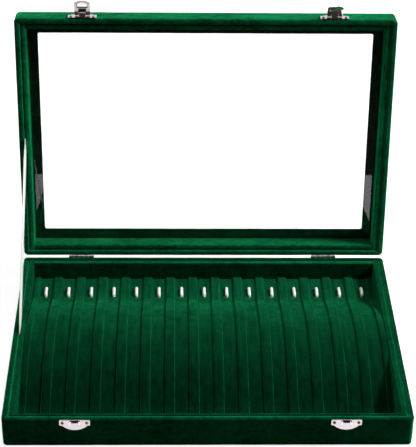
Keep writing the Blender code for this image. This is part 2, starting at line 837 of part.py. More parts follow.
def build_hasps(lid_pivot, nail):
    """Both hasps; returns the wall holes that their nails need."""
    base_holes, lid_holes = [], []
    for side, way in (("left", -1), ("right", 1)):
        centre_x = way * hasp_offset + hasp_shift
        catch_seats = catch_plate(side, centre_x)[1]
        plate, latch_seats = latch_plate(side, centre_x)
        hang(plate, lid_pivot, hinge_axis)
        flap_pin = pin(f"latch_pin_{side}", centre_x, flap_axis_y, flap_axis_z,
                       flap_width - flap_play, bright_metal)
        hang(flap_pin, lid_pivot, hinge_axis)
        flap_axis = Vector((centre_x, flap_axis_y, flap_axis_z))
        flap_pivot = pivot(f"flap_pivot_{side}", flap_axis, -flap_open_degrees[side],
                           lid_pivot, hinge_axis)
        hang(latch_flap(side, centre_x), flap_pivot, flap_axis)
        for index, seat in enumerate(catch_seats):
            add_nail(f"catch_nail_{side}_{index + 1}", nail, seat, False, bright_metal)
            base_holes.append(nail_hole(seat, back=False))
        for index, seat in enumerate(latch_seats):
            head = add_nail(f"latch_nail_{side}_{index + 1}", nail, seat, False, bright_metal)
            hang(head, lid_pivot, hinge_axis)
            lid_holes.append(nail_hole(seat, back=False))
    return base_holes, lid_holes


def build_hinges(lid_pivot, nail):
    """Both hinges; returns the wall holes that their nails need."""
    base_holes, lid_holes = [], []
    for side, way in (("left", -1), ("right", 1)):
        centre_x = way * hinge_offset + hinge_shift
        base_seats = hinge_leaf(f"hinge_base_leaf_{side}", centre_x, False, hinge_metal)[1]
        leaf, lid_seats = hinge_leaf(f"hinge_lid_leaf_{side}", centre_x, True, hinge_metal)
        hang(leaf, lid_pivot, hinge_axis)
        pin(f"hinge_pin_{side}", centre_x, hinge_axis.y, hinge_axis.z, hinge_width, hinge_metal)
        for index, seat in enumerate(base_seats):
            add_nail(f"hinge_base_nail_{side}_{index + 1}", nail, seat, True, hinge_metal)
            base_holes.append(nail_hole(seat, back=True))
        for index, seat in enumerate(lid_seats):
            head = add_nail(f"hinge_lid_nail_{side}_{index + 1}", nail, seat, True, hinge_metal)
            hang(head, lid_pivot, hinge_axis)
            lid_holes.append(nail_hole(seat, back=True))
    return base_holes, lid_holes


def main():
    lid_pivot = pivot("lid_pivot", hinge_axis, -lid_open_degrees)
    base_wall = build_base()
    lid_wall = build_lid(lid_pivot)
    nail = nail_mesh()
    hasp_base, hasp_lid = build_hasps(lid_pivot, nail)
    hinge_base, hinge_lid = build_hinges(lid_pivot, nail.copy())
    combine(base_wall, joined_mesh("base_mortises", hinge_mortises(False)), "DIFFERENCE")
    combine(base_wall, joined_mesh("base_nail_holes", hasp_base + hinge_base), "DIFFERENCE")
    combine(lid_wall, joined_mesh("lid_mortises", hinge_mortises(True)), "DIFFERENCE")
    combine(lid_wall, joined_mesh("lid_nail_holes", hasp_lid + hinge_lid), "DIFFERENCE")
    hang(lid_wall, lid_pivot, hinge_axis)
    stay_ribbon()


main()
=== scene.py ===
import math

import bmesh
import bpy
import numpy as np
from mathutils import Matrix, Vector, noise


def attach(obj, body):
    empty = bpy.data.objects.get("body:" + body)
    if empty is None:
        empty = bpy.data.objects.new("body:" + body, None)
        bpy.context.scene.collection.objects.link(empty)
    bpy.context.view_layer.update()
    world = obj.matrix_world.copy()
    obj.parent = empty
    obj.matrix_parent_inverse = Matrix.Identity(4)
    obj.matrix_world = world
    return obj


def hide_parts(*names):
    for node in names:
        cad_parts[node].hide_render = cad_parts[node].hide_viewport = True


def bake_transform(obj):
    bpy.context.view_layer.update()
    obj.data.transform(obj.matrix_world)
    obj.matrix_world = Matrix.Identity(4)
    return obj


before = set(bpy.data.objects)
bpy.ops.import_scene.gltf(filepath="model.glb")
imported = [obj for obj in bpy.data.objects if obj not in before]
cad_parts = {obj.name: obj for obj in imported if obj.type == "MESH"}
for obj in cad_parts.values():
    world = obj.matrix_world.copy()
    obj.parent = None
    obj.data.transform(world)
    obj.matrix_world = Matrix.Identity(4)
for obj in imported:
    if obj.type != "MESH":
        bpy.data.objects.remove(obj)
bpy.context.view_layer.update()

# %% [markdown]
# # A velvet necklace case, shown open
#
# The case is a shallow wooden box covered with green velvet. Its lid is a frame round a glass
# pane, and an arched board inside carries necklaces on fifteen white hooks. The solids of the
# case are loaded first. They hold every place and size, and the pieces made below are finer
# versions that take over from them, in metres and in the same frame: X is the width, Y runs
# from front to back and Z is up.

scene = bpy.context.scene

# %% [markdown]
# ## The camera
#
# The photograph looks down at the open case from the front, a little left of its middle. The
# place and the tilt come from matching the corners of the base and of the lid to the picture,
# so the camera is set from a direction and a small roll and not aimed at an object. A long
# lens keeps the sides of the case nearly parallel, as a product photograph does.

# %% Place the camera
picture_width, picture_height = 416, 447
focal_pixels = 1509.9
sensor_mm = 36.0
camera_place = Vector((-0.0305, -1.0906, 0.8717))
camera_down, camera_turn, camera_roll = (math.radians(a) for a in (33.55, 1.61, 0.98))

camera_data = bpy.data.cameras.new("photo_camera")
camera_data.sensor_width = sensor_mm
camera_data.lens = sensor_mm * focal_pixels / max(picture_width, picture_height)
camera = bpy.data.objects.new("photo_camera", camera_data)
scene.collection.objects.link(camera)

ahead = Vector((math.sin(camera_turn) * math.cos(camera_down),
                math.cos(camera_turn) * math.cos(camera_down), -math.sin(camera_down)))
level = Vector((math.cos(camera_turn), -math.sin(camera_turn), 0))
right = Matrix.Rotation(-camera_roll, 3, ahead) @ level
above = right.cross(ahead)
camera.matrix_world = Matrix.Translation(camera_place) @ Matrix(
    (right, above, -ahead)).transposed().to_4x4()
scene.camera = camera
print("lens:", round(camera_data.lens, 1), "mm")

# %% [markdown]
# ## The sizes
#
# Every size that the finer pieces need is named once, so that each piece still fits the solid
# that it takes over from. The lid's pieces are made in the shut pose, where they are easy to
# describe, and one matrix then turns them about the hinge to the open pose.

# %% Name the sizes of the case
half_width, half_depth = 0.175, 0.120
base_height, lid_height = 0.0293, 0.022
wall_thickness, plan_corner, pocket_corner = 0.0052, 0.0040, 0.0015
rim_round, foot_round, lid_top_round = 0.0015, 0.0012, 0.0022
rim_gap, fit_gap = 0.0004, 0.0003
board_top, board_rebate = 0.0033, 0.0026
liner_outer, liner_thickness = 0.0061, 0.0044
lid_rim_z = base_height + rim_gap
lid_top_z = lid_rim_z + lid_height
frame_border, frame_flange, window_corner = 0.0195, 0.0024, 0.0018
glass_thickness, lid_liner_recess = 0.002, 0.0015

hinge_recess, hinge_roll = 0.0009, 0.0014
hinge_axis = Vector((0, half_depth - hinge_recess + fit_gap + hinge_roll, base_height + rim_gap / 2))
lid_open = math.radians(98.2)
lid_turn = (Matrix.Translation(hinge_axis) @ Matrix.Rotation(-lid_open, 4, "X")
            @ Matrix.Translation(-hinge_axis))
print("lid top when shut:", round(lid_top_z * 1000, 1), "mm")

# %% [markdown]
# ## Turning points and faces into a piece
#
# Each piece below is a list of points and faces. One helper makes the mesh, smooths its
# shading, gives it a finish, hands it to the body that it moves with and hides the solids that
# it stands for. Edges sharper than an angle stay crisp, which keeps a board's end flat while
# its round edge stays smooth. Where a hinge is let into the wood, a boolean cuts the recess,
# because that is also how a joiner makes it: the wall first, the recess after.

# %% Cut recesses out of a mesh
def face_outwards(mesh):
    """Turn all faces so that their fronts look out of the piece."""
    builder = bmesh.new()
    builder.from_mesh(mesh)
    bmesh.ops.recalc_face_normals(builder, faces=builder.faces)
    builder.to_mesh(mesh)
    builder.free()


def sink_recesses(mesh, recesses):
    """Cut boxes, each given by two corners, out of a mesh."""
    cutter = bmesh.new()
    for low, high in recesses:
        place = Matrix.Translation((Vector(low) + Vector(high)) / 2)
        size = Vector(high) - Vector(low)
        bmesh.ops.create_cube(cutter, size=1, matrix=place @ Matrix.Diagonal((*size, 1)))
    boxes = bpy.data.meshes.new("recesses")
    cutter.to_mesh(boxes)
    cutter.free()
    holder, tool = (bpy.data.objects.new("recess", data) for data in (mesh, boxes))
    scene.collection.objects.link(holder)
    scene.collection.objects.link(tool)
    cut = holder.modifiers.new("recess", "BOOLEAN")
    cut.object, cut.operation, cut.solver = tool, "DIFFERENCE", "EXACT"
    finished = bpy.data.meshes.new_from_object(
        holder.evaluated_get(bpy.context.evaluated_depsgraph_get()))
    bpy.data.objects.remove(holder)
    bpy.data.objects.remove(tool)
    return finished


# %% Make a piece and hand it to a body
crease_angle = math.radians(40)


def add_piece(name, points, faces, body, nodes, material, turn=None, recesses=()):
    """nodes are the solids that the piece stands for, and turn is a matrix for its points."""
    mesh = bpy.data.meshes.new(name)
    mesh.from_pydata([tuple(p) for p in points], [], faces)
    if recesses:
        face_outwards(mesh)
        mesh = sink_recesses(mesh, recesses)
        mesh.name = name
    if turn is not None:
        mesh.transform(turn)
    face_outwards(mesh)
    mesh.shade_smooth()
    mesh.set_sharp_from_angle(angle=crease_angle)
    mesh.materials.append(material)
    piece = bpy.data.objects.new(name, mesh)
    scene.collection.objects.link(piece)
    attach(piece, body)
    if nodes:
        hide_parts(*nodes)
    return piece


print("edges stay crisp from", round(math.degrees(crease_angle)), "degrees")

# %% [markdown]
# ## Steps that every finish repeats
#
# A finish is a small graph of nodes: noises feed a Principled shader, which turns them into
# colour, gloss and relief. The same few steps come back in each one, so they are named once,
# and the recipes below stay short enough to read.

# %% Name the steps of a finish
def new_material(name):
    """A new material with its tree of nodes and its shader."""
    material = bpy.data.materials.new(name)
    material.use_nodes = True
    return material, material.node_tree, material.node_tree.nodes["Principled BSDF"]


def feed(tree, node, values):
    """Set each named input to a plain value, or link it to another node's output."""
    for name, value in values.items():
        if isinstance(value, bpy.types.NodeSocket):
            tree.links.new(value, node.inputs[name])
        else:
            node.inputs[name].default_value = value


def map_value(tree, value, start, end, smooth=False):
    """Stretch a value from one range to another."""
    node = tree.nodes.new("ShaderNodeMapRange")
    node.interpolation_type = "SMOOTHSTEP" if smooth else "LINEAR"
    feed(tree, node, {"Value": value, "From Min": start[0], "From Max": start[1],
                      "To Min": end[0], "To Max": end[1]})
    return node.outputs["Result"]


# %% Name the steps that make marks and relief
def noise_socket(tree, scale, detail, vector):
    """A noise with this many waves in a metre."""
    node = tree.nodes.new("ShaderNodeTexNoise")
    feed(tree, node, {"Scale": scale, "Detail": detail, "Vector": vector})
    return node.outputs["Fac"]


def mixed_colour(tree, share, first, second):
    """A colour between two, or a number between two."""
    node = tree.nodes.new("ShaderNodeMixRGB")
    feed(tree, node, {"Fac": share, "Color1": first, "Color2": second})
    return node.outputs["Color"]


def split_axes(tree, vector):
    """The X, Y and Z of a place or a direction."""
    node = tree.nodes.new("ShaderNodeSeparateXYZ")
    feed(tree, node, {"Vector": vector})
    return node.outputs


def stack_bumps(tree, layers):
    """One normal from several heights, each with its depth in metres."""
    normal = None
    for height, depth in layers:
        bump = tree.nodes.new("ShaderNodeBump")
        feed(tree, bump, {"Distance": depth, "Height": height})
        if normal is not None:
            feed(tree, bump, {"Normal": normal})
        normal = bump.outputs["Normal"]
    return normal


# %% [markdown]
# ## Velvet
#
# Velvet is a dark cloth with a short upright pile. Looked at from above the pile it swallows
# light, and at a shallow angle its tips catch it, so the case is nearly black where it faces
# the camera and bright green where it slopes away. The sheen layer of the shader gives that
# rim of light, and the mirror gloss of smooth things is off. The pile is never quite even
# either: where a finger or an iron has brushed it, it leans another way. So a slow noise tilts
# the surface in soft patches, a quicker one draws streaks and a fine one makes the tips. All
# three are bump, because the pile is thinner than the mesh can hold.

# %% Name the greens and the sizes of the pile
velvet_deep = (0.0005, 0.014, 0.0052)
velvet_bright = (0.0014, 0.042, 0.0145)
velvet_tint = (0.035, 1.0, 0.34, 1)
patch_scale, pile_scale, streak_scale = 32.0, 2400.0, 240.0
patch_depth, pile_depth, streak_depth = 0.0035, 0.00012, 0.0003
velvet_roughness, sheen_roughness = 0.95, 0.38
mark_spread, light_fade_reach = 0.14, 0.09
print("patches are about", round(1000 / patch_scale), "mm wide")


# %% Mix a velvet
def velvet_colour(tree, marks, place, painted_level, light_fade, contrast):
    """Deep to bright green along the marks, times a painted gradient of light and shade from front
    to back.
    """
    ramp = tree.nodes.new("ShaderNodeValToRGB")
    low, high = ramp.color_ramp.elements
    low.position, high.position = 0.5 - mark_spread / contrast, 0.5 + mark_spread / contrast
    low.color = [c * painted_level for c in velvet_deep] + [1]
    high.color = [c * painted_level for c in velvet_bright] + [1]
    feed(tree, ramp, {"Fac": marks})
    along = map_value(tree, split_axes(tree, place)["Y"], (-light_fade_reach, light_fade_reach),
                      (1.0 + light_fade[0], 1.0 + light_fade[1]), smooth=True)
    faded = tree.nodes.new("ShaderNodeVectorMath")
    faded.operation = "SCALE"
    feed(tree, faded, {0: ramp.outputs["Color"], "Scale": along})
    return faded.outputs["Vector"]


def velvet_material(name, painted_level, sheen, stretch=(1, 1, 1), light_fade=(0.0, 0.0), patchy=1.0,
                    contrast=1.0):
    """stretch squeezes the brushed streaks; the fade paints light and shade onto the cloth from
    front to back.
    """
    material, tree, shader = new_material(name)
    place = tree.nodes.new("ShaderNodeTexCoord").outputs["Object"]
    squeezed = tree.nodes.new("ShaderNodeMapping")
    feed(tree, squeezed, {"Scale": stretch, "Vector": place})
    patches = noise_socket(tree, patch_scale, 3, place)
    streaks = noise_socket(tree, streak_scale, 2, squeezed.outputs["Vector"])
    pile = noise_socket(tree, pile_scale, 1, place)
    marks = mixed_colour(tree, 0.5 * patchy, streaks, patches)
    layers = ((patches, patch_depth), (streaks, streak_depth), (pile, pile_depth))
    feed(tree, shader, {
        "Base Color": velvet_colour(tree, marks, place, painted_level, light_fade, contrast),
        "Normal": stack_bumps(tree, layers),
        "Roughness": velvet_roughness, "Specular IOR Level": 0.0, "Sheen Weight": sheen,
        "Sheen Roughness": sheen_roughness, "Sheen Tint": velvet_tint})
    return material


# %% [markdown]
# ## One cloth, painted at seven levels of light and shade
#
# The case is covered with one green velvet, so the same recipe is mixed seven times at different
# levels. The lighter copies are painted light, on the lid and on the edges of strips and rims,
# and the darker copies are painted shade, in the grooves, behind the pane and on the back rim.
# The first number is how light the green is painted and the second how strong its sheen. The
# insert's cloth is glued down along the channels, so its streaks are long and its marks faint,
# and its green is painted with light at the back and with shade at the front.

# %% Mix the cloths of the case
# case_velvet is the plain cloth; the lighter copies below are painted light, the darker ones painted
# shade.
case_velvet = velvet_material("case_velvet", 1.1, 1.0)
lid_velvet = velvet_material("lid_velvet", 2.6, 0.8)
# The insert's cloth is painted lighter toward the back and darker toward the front: painted light
# and shade.
insert_velvet = velvet_material("insert_velvet", 0.9, 0.42, stretch=(1, 0.12, 1),
                                light_fade=(-0.45, 1.1), patchy=0.4, contrast=0.55)
smoothed_velvet = velvet_material("smoothed_velvet", 1.05, 0.2)
brushed_velvet = velvet_material("brushed_velvet", 3.4, 1.0)
raised_velvet = velvet_material("raised_velvet", 5.6, 1.0)
pressed_velvet = velvet_material("pressed_velvet", 0.9, 0.4)
print("materials so far:", len(bpy.data.materials))

# %% [markdown]
# ## Walls wrapped in cloth
#
# The four walls of the base are one ring. Its section, a thin upright with a round rim, is
# carried round a rectangle with round corners, which gives even walls and clean corners in one
# closed mesh. Cloth pulled over wood is never dead straight, so each point moves a tenth of a
# millimetre along a slow noise, and the fold at each corner of the rim is pressed in a little.
# The noise starts from a fixed seed, so that the cloth lies the same way each time.

# %% Draw arcs and straight runs
straight_step, corner_steps, arc_steps = 0.006, 10, 6


def arc(centre, radius, start, end, steps=arc_steps):
    """Points on an arc in a plane, its angles in degrees."""
    angles = np.radians(np.linspace(start, end, steps + 1))
    return [(centre[0] + radius * math.cos(a), centre[1] + radius * math.sin(a)) for a in angles]


def stations(start, end, step):
    """Evenly spaced points between the two ends of a straight run."""
    count = max(1, round(math.dist(start, end) / step))
    return [tuple(np.array(start) + (np.array(end) - np.array(start)) * i / count)
            for i in range(1, count)]


def ring_points(inset, height, radius):
    """Points round a rectangle with round corners, inset from the case's outside."""
    points = []
    half_x, half_y = half_width - inset, half_depth - inset
    sides = ((1, 1), (-1, 1), (-1, -1), (1, -1))
    for quarter, (side_x, side_y) in enumerate(sides):
        centre = (side_x * (half_x - radius), side_y * (half_y - radius))
        corner = arc(centre, radius, quarter * 90, quarter * 90 + 90, corner_steps)
        points += corner
        length = 2 * (half_width if quarter % 2 == 0 else half_depth)
        count = round(length / straight_step)
        following = sides[(quarter + 1) % 4]
        target = (following[0] * (half_x - radius), following[1] * (half_y - radius))
        if quarter % 2 == 0:
            target = (target[0], side_y * half_y)
        else:
            target = (side_x * half_x, target[1])
        start = np.array(corner[-1])
        points += [tuple(start + (np.array(target) - start) * i / count) for i in range(1, count)]
    return [(x, y, height) for x, y in points]


print("points round the case:", len(ring_points(0, 0, plan_corner)))

# %% Carry a section round the case
unevenness, unevenness_scale, unevenness_seed = 0.00012, 90.0, 1
fold_depth, fold_reach = 0.00035, 0.0016
noise.seed_set(unevenness_seed)


def ring_faces(rings, count, closed=True):
    """Faces between rings of points, the last of which joins the first if they are closed."""
    faces = []
    for lower in range(rings if closed else rings - 1):
        upper = (lower + 1) % rings
        for index in range(count):
            after = (index + 1) % count
            faces.append((lower * count + index, lower * count + after,
                          upper * count + after, upper * count + index))
    return faces


def ease(points, amount=unevenness):
    """Move points along a slow noise, as cloth over a board lies."""
    return [Vector(point) + noise.noise_vector(Vector(point) * unevenness_scale) * amount
            for point in points]


def corner_middles():
    """Where the middle of each corner comes in a ring's list of points."""
    middles, start = [], 0
    for quarter in range(4):
        middles.append(start + corner_steps // 2)
        length = 2 * (half_width if quarter % 2 == 0 else half_depth)
        start += corner_steps + round(length / straight_step)
    return middles


def wrapped_ring(name, section, body, nodes, material, rims, turn=None, recesses=()):
    """section lists inset, height and corner radius; rims lists each rim's height and way in."""
    points = []
    for inset, height, radius in section:
        ring = ring_points(inset, height, radius)
        for rim, way in rims:
            if abs(height - rim) < fold_reach:
                for index in corner_middles():
                    x, y, z = ring[index]
                    ring[index] = (x, y, z + way * fold_depth)
        points += ring
    count = len(points) // len(section)
    return add_piece(name, ease(points), ring_faces(len(section), count), body, nodes,
                     material, turn, recesses)


print("corners come at points", corner_middles())

# %% Place the recesses of the hinges
hinge_offset, hinge_shift, hinge_width, hinge_leaf = 0.118, -0.0013, 0.024, 0.0095
recess_overrun = 0.001


def hinge_recesses(low, high):
    """The shallow recesses in the back wall that let in the hinge leaves."""
    half = hinge_width / 2 + fit_gap
    centres = [way * hinge_offset + hinge_shift for way in (-1, 1)]
    return [((x - half, half_depth - hinge_recess, low),
             (x + half, half_depth + recess_overrun, high)) for x in centres]


def wall_corner(inset):
    """A corner's radius, which shrinks towards the inside of the wall."""
    return max(plan_corner - inset, pocket_corner)


print("recesses are", hinge_recess * 1000, "mm deep")

# %% Wrap the walls of the base
rise_step, rim_step = 0.0035, 0.0008
section = arc((foot_round, foot_round), foot_round, 270, 180)
section += stations(section[-1], (0, base_height - rim_round), rise_step)
section += arc((rim_round, base_height - rim_round), rim_round, 180, 90)
section += stations(section[-1], (wall_thickness - rim_round, base_height), rim_step)
section += arc((wall_thickness - rim_round, base_height - rim_round), rim_round, 90, 0)
section += stations(section[-1], (wall_thickness, board_top), rise_step)
section += [(wall_thickness, board_top), (board_rebate, board_top), (board_rebate, 0)]
recesses = hinge_recesses(hinge_axis.z - hinge_leaf - fit_gap, base_height + recess_overrun)
base_walls = wrapped_ring("base_walls", [(i, h, wall_corner(i)) for i, h in section], "base",
                          ["base_wall_frame"], case_velvet, [(base_height, -1)], None, recesses)
print("points in the base's walls:", len(base_walls.data.vertices))

# %% [markdown]
# ## Painted highlights and shade on the rims
#
# Along the inner edge of each rim a thin light line is painted, a highlight where the cloth
# turns down into the groove. On the front rim of the base and on the right rim of the lid the
# painted highlight is wider, and the back rim of the base gets painted shade under the lid.
# Faces are picked by where they lie, so the line has the same width all the way round.

# %% Paint the highlights on the rims
highlight_line, front_highlight_line = 0.0009, 0.0024


def paint_rim_highlight(piece, height, turn=None):
    """Give a rim's inner edge the cloth with a painted highlight; two rims get a wider line."""
    in_lid = turn is not None
    back_again = turn.inverted() if in_lid else Matrix()
    piece.data.materials.append(brushed_velvet)
    for polygon in piece.data.polygons:
        place = back_again @ polygon.center
        inset = min(half_width - abs(place.x), half_depth - abs(place.y))
        line = highlight_line
        if in_lid and half_width - place.x < wall_thickness:
            line = wall_thickness
        elif not in_lid and half_depth + place.y < wall_thickness:
            line = front_highlight_line
        if wall_thickness - line < inset < wall_thickness and abs(place.z - height) < highlight_line:
            polygon.material_index = len(piece.data.materials) - 1


paint_rim_highlight(base_walls, base_height)
# The back rim of the base gets a darker copy of the cloth: painted shade under the lid.
base_walls.data.materials.append(pressed_velvet)
for polygon in base_walls.data.polygons:
    inset = half_depth - polygon.center.y
    if 0 < inset < wall_thickness and polygon.center.z > base_height - rim_round:
        polygon.material_index = 2
print("faces with the pile up:", sum(p.material_index == 1 for p in base_walls.data.polygons))

# %% [markdown]
# ## Liner strips
#
# A strip of covered board stands inside each wall, with a thin dark groove between them. The
# strips of the base end level with its rim, and those of the lid stand a little back from its
# rim and hold the pane. Each strip is a straight bar with two round edges, so its section is
# drawn once and carried along the bar in short steps. Its edge and its upright sides each get
# a copy of the cloth of their own, so that light and shade can be painted on them apart. The
# front strip of the base is thinner than the others, as its narrow edge shows.

# %% Make a bar from a section
liner_round = 0.0011
liner_step, liner_share, upright_share = 0.006, 0.6, 0.85


def bar(name, section, start, end, axis, body, nodes, cloths, turn=None):
    """Carry a section along X or Y, its first number across; cloths are the edge's and sides'."""
    count = max(2, round((end - start) / liner_step))
    points = []
    for index in range(count + 1):
        along = start + (end - start) * index / count
        for across, height in section:
            points.append((along, across, height) if axis == "X" else (across, along, height))
    size = len(section)
    faces = [tuple(range(size)), tuple(range(count * size, (count + 1) * size))[::-1]]
    faces += ring_faces(count + 1, size, False)
    piece = add_piece(name, ease(points, unevenness * liner_share), faces, body, nodes, cloths[0],
                      turn)
    piece.data.materials.append(cloths[1])
    back_again = (Matrix() if turn is None else turn.inverted()).to_3x3()
    for polygon in piece.data.polygons:
        normal = back_again @ polygon.normal
        if abs(normal.x if axis == "Y" else normal.y) > upright_share:
            polygon.material_index = 1
    return piece


def strip_section(middle, low, high, round_top, thickness=liner_thickness):
    """A strip's outline across its length, with round edges at the top or at the bottom."""
    half, way = thickness / 2, 1 if round_top else -1
    (rounded, flat), turned = ((high, low), 0) if round_top else ((low, high), 180)
    z = rounded - way * liner_round
    points = arc((middle + way * (half - liner_round), z), liner_round, turned, turned + 90)
    points += arc((middle - way * (half - liner_round), z), liner_round, turned + 90, turned + 180)
    last, first = (middle - way * half, flat), (middle + way * half, flat)
    return (points + stations(points[-1], last, rise_step) + [last, first]
            + stations(first, points[0], rise_step))


plain_liner, thin_liner = (liner_outer, liner_thickness), (0.0056, 0.0025)


def line_case(prefix, low, high, round_top, body, cloths, front, turn=None):
    """cloths are for the sides, front and back; front is the front strip's inset and thickness."""
    reach_y = half_depth - wall_thickness - fit_gap
    reach_x = half_width - liner_outer - liner_thickness - fit_gap
    for side, name in ((-1, "left"), (1, "right")):
        middle = side * (half_width - liner_outer - liner_thickness / 2)
        bar(f"{prefix}_{name}_cloth", strip_section(middle, low, high, round_top), -reach_y,
            reach_y, "Y", body, [f"{prefix}_{name}"], cloths[0], turn)
    for side, name, (inset, thick), pair in ((-1, "front", front, cloths[1]),
                                             (1, "back", plain_liner, cloths[2])):
        middle = side * (half_depth - inset - thick / 2)
        bar(f"{prefix}_{name}_cloth", strip_section(middle, low, high, round_top, thick), -reach_x,
            reach_x, "X", body, [f"{prefix}_{name}"], pair, turn)


# %% Line the base and the lid
glass_low_z = lid_top_z - frame_flange - fit_gap - glass_thickness
# Painted light and shade: the upright sides of the base's side strips are darker, the base's back
# strip and the lid's strips lighter, and the edges of the lid's side strips carry a painted
# highlight.
base_cloths = ((case_velvet, smoothed_velvet), (case_velvet, case_velvet),
               (lid_velvet, case_velvet))
lid_cloths = ((raised_velvet, lid_velvet), (lid_velvet, lid_velvet), (lid_velvet, lid_velvet))
line_case("base_liner", board_top, base_height, True, "base", base_cloths, thin_liner)
line_case("lid_liner", lid_rim_z + lid_liner_recess, glass_low_z - fit_gap, False, "lid",
          lid_cloths, plain_liner, lid_turn)

# %% [markdown]
# ## The ribbed insert
#
# The necklaces lie on a board bent into a shelf, an arch and a toe, under one sheet of velvet.
# Between the ribs the cloth is glued down into fifteen channels. The board is a grid of points:
# one way they follow the bent line, and the other way they rise over each rib with soft
# shoulders. Around each hook the cloth is pressed down a little. A second grid below gives the
# sheet its thickness.

# %% Find the bends of the board
insert_thickness = 0.0024
shelf_height, toe_height, arch_height = 0.0110, 0.0080, 0.0279
arch_centre_y, shelf_depth, hook_leg_inset = -0.001, 0.0384, 0.0303
insert_half_x = half_width - liner_outer - liner_thickness - fit_gap
insert_half_y = half_depth - liner_outer - liner_thickness - fit_gap
insert_front = half_depth - sum(thin_liner) - fit_gap
arch_half_chord = insert_half_y - shelf_depth - arch_centre_y
arch_rise = arch_height - shelf_height
arch_radius = (arch_half_chord ** 2 + arch_rise ** 2) / (2 * arch_rise)
arch_centre_z = arch_height - arch_radius
toe_chord = math.sqrt(arch_radius ** 2 - (toe_height - arch_centre_z) ** 2)
back_crease = arch_centre_y + arch_half_chord
front_crease = arch_centre_y - toe_chord
hook_leg_y = insert_half_y - hook_leg_inset
print("radius of the arch:", round(arch_radius * 1000, 1), "mm")

# %% Follow the bent line of the board
crease_soft = 0.0018


def surface_height(y):
    """The board's upper face at a place, with each crease a little rounded."""
    arch = arch_centre_z + math.sqrt(arch_radius ** 2 - (y - arch_centre_y) ** 2)
    flat = shelf_height if y > arch_centre_y else toe_height
    gap = (arch - flat) / crease_soft
    return flat + crease_soft * (math.log1p(math.exp(-abs(gap))) + max(gap, 0.0))


def path_stations():
    """Places from the back to the front, closer together at edges, hooks and creases."""
    ys = [insert_half_y - step for step in (0, 0.0004, 0.001, 0.002)]
    for start, end, step in ((insert_half_y - 0.005, hook_leg_y + 0.006, 0.004),
                             (hook_leg_y + 0.0045, hook_leg_y - 0.0050, 0.0007),
                             (back_crease + 0.002, back_crease - 0.006, 0.001),
                             (back_crease - 0.008, front_crease + 0.006, 0.0035),
                             (front_crease + 0.005, front_crease - 0.005, 0.001),
                             (front_crease - 0.007, -insert_front + 0.003, 0.004)):
        ys += list(np.arange(start, end, -step))
    return ys + [step - insert_front for step in (0.002, 0.001, 0.0004, 0)]


board_line = [(y, surface_height(y)) for y in path_stations()]
print("stations along the board:", len(board_line))

# %% Shape the ribs and channels
channel_count, rib_width, rib_height = 15, 0.0082, 0.0021
end_rib_width, end_margin, rib_columns = 0.00555, 0.0006, 3
channel_pitch = (2 * (insert_half_x - end_rib_width) + rib_width) / channel_count
shoulder = ((-0.0009, 0.0), (-0.0005, 0.015), (-0.00025, 0.09), (-0.0001, 0.27), (0.0, 0.5),
            (0.00015, 0.70), (0.0004, 0.88), (0.0008, 0.97), (0.0014, 1.0))
channel_steps = (0.0048, 0.0036, 0.0026, 0.0019, 0.0012, 0.0006, 0.0)


def channel_x(index):
    """The middle of a channel, counted from the left."""
    return (index - (channel_count - 1) / 2) * channel_pitch


def rib_profile():
    """Places across the board with the share of the rib's height that each one has."""
    half, rib_edge = (channel_pitch - rib_width) / 2, insert_half_x - end_margin
    lefts = [-rib_edge] + [channel_x(i) + half for i in range(channel_count)]
    rights = [channel_x(i) - half for i in range(channel_count)] + [rib_edge]
    profile = [(-insert_half_x, 0.0)]
    for index, (low, high) in enumerate(zip(lefts, rights)):
        rise = [(low + d, share) for d, share in shoulder if low + d > profile[-1][0]]
        fall = [(high - d, share) for d, share in shoulder[::-1] if high - d < insert_half_x]
        inner = np.linspace(rise[-1][0], fall[0][0], rib_columns + 2)[1:-1]
        profile += rise + [(x, 1.0) for x in inner] + fall
        if index < channel_count:
            profile += [(channel_x(index) - step, 0.0) for step in channel_steps]
            profile += [(channel_x(index) + step, 0.0) for step in channel_steps[-2::-1]]
    return profile + [(insert_half_x, 0.0)]


across = rib_profile()
print("places across the board:", len(across))

# %% Lay the cloth over the board
dimple_depth, dimple_radius, edge_round = 0.0012, 0.0021, 0.0009
cloth_waves = (((70, 40, 3.1), 0.00022), ((260, 120, 7.7), 0.00008))


def from_edge(y):
    """How far a place lies from the nearer of the board's back and front edges."""
    return min(insert_half_y - y, y + insert_front)


def cloth_lift(x, y, share):
    """How far the velvet stands above the board's line."""
    lift = share * rib_height
    index = round(x / channel_pitch + (channel_count - 1) / 2)
    if 0 <= index < channel_count:
        away = math.hypot(x - channel_x(index), y - hook_leg_y)
        lift -= dimple_depth * math.exp(-(away / dimple_radius) ** 2)
    end = min(from_edge(y), edge_round)
    lift -= edge_round - math.sqrt(max(edge_round ** 2 - (edge_round - end) ** 2, 0.0))
    for (across_waves, along_waves, layer), height in cloth_waves:
        lift += noise.noise(Vector((x * across_waves, y * along_waves, layer))) * height
    return lift


print("at a hook the cloth lies", dimple_depth * 1000, "mm lower")

# %% Build the insert as a thick sheet
upright_edge = 0.003


def thick_sheet_faces(rows, width):
    """Faces of a grid, of an equal grid below it and of the edge that joins them."""
    offset, faces = rows * width, []
    for row in range(rows - 1):
        for column in range(width - 1):
            a = row * width + column
            faces.append((a, a + 1, a + width + 1, a + width))
            faces.append(tuple(offset + v for v in (a, a + width, a + width + 1, a + 1)))
    edge = list(range(width)) + [r * width + width - 1 for r in range(1, rows)]
    edge += [(rows - 1) * width + c for c in range(width - 2, -1, -1)]
    edge += [r * width for r in range(rows - 2, 0, -1)]
    for corner, after in zip(edge, edge[1:] + edge[:1]):
        faces.append((corner, after, offset + after, offset + corner))
    return faces


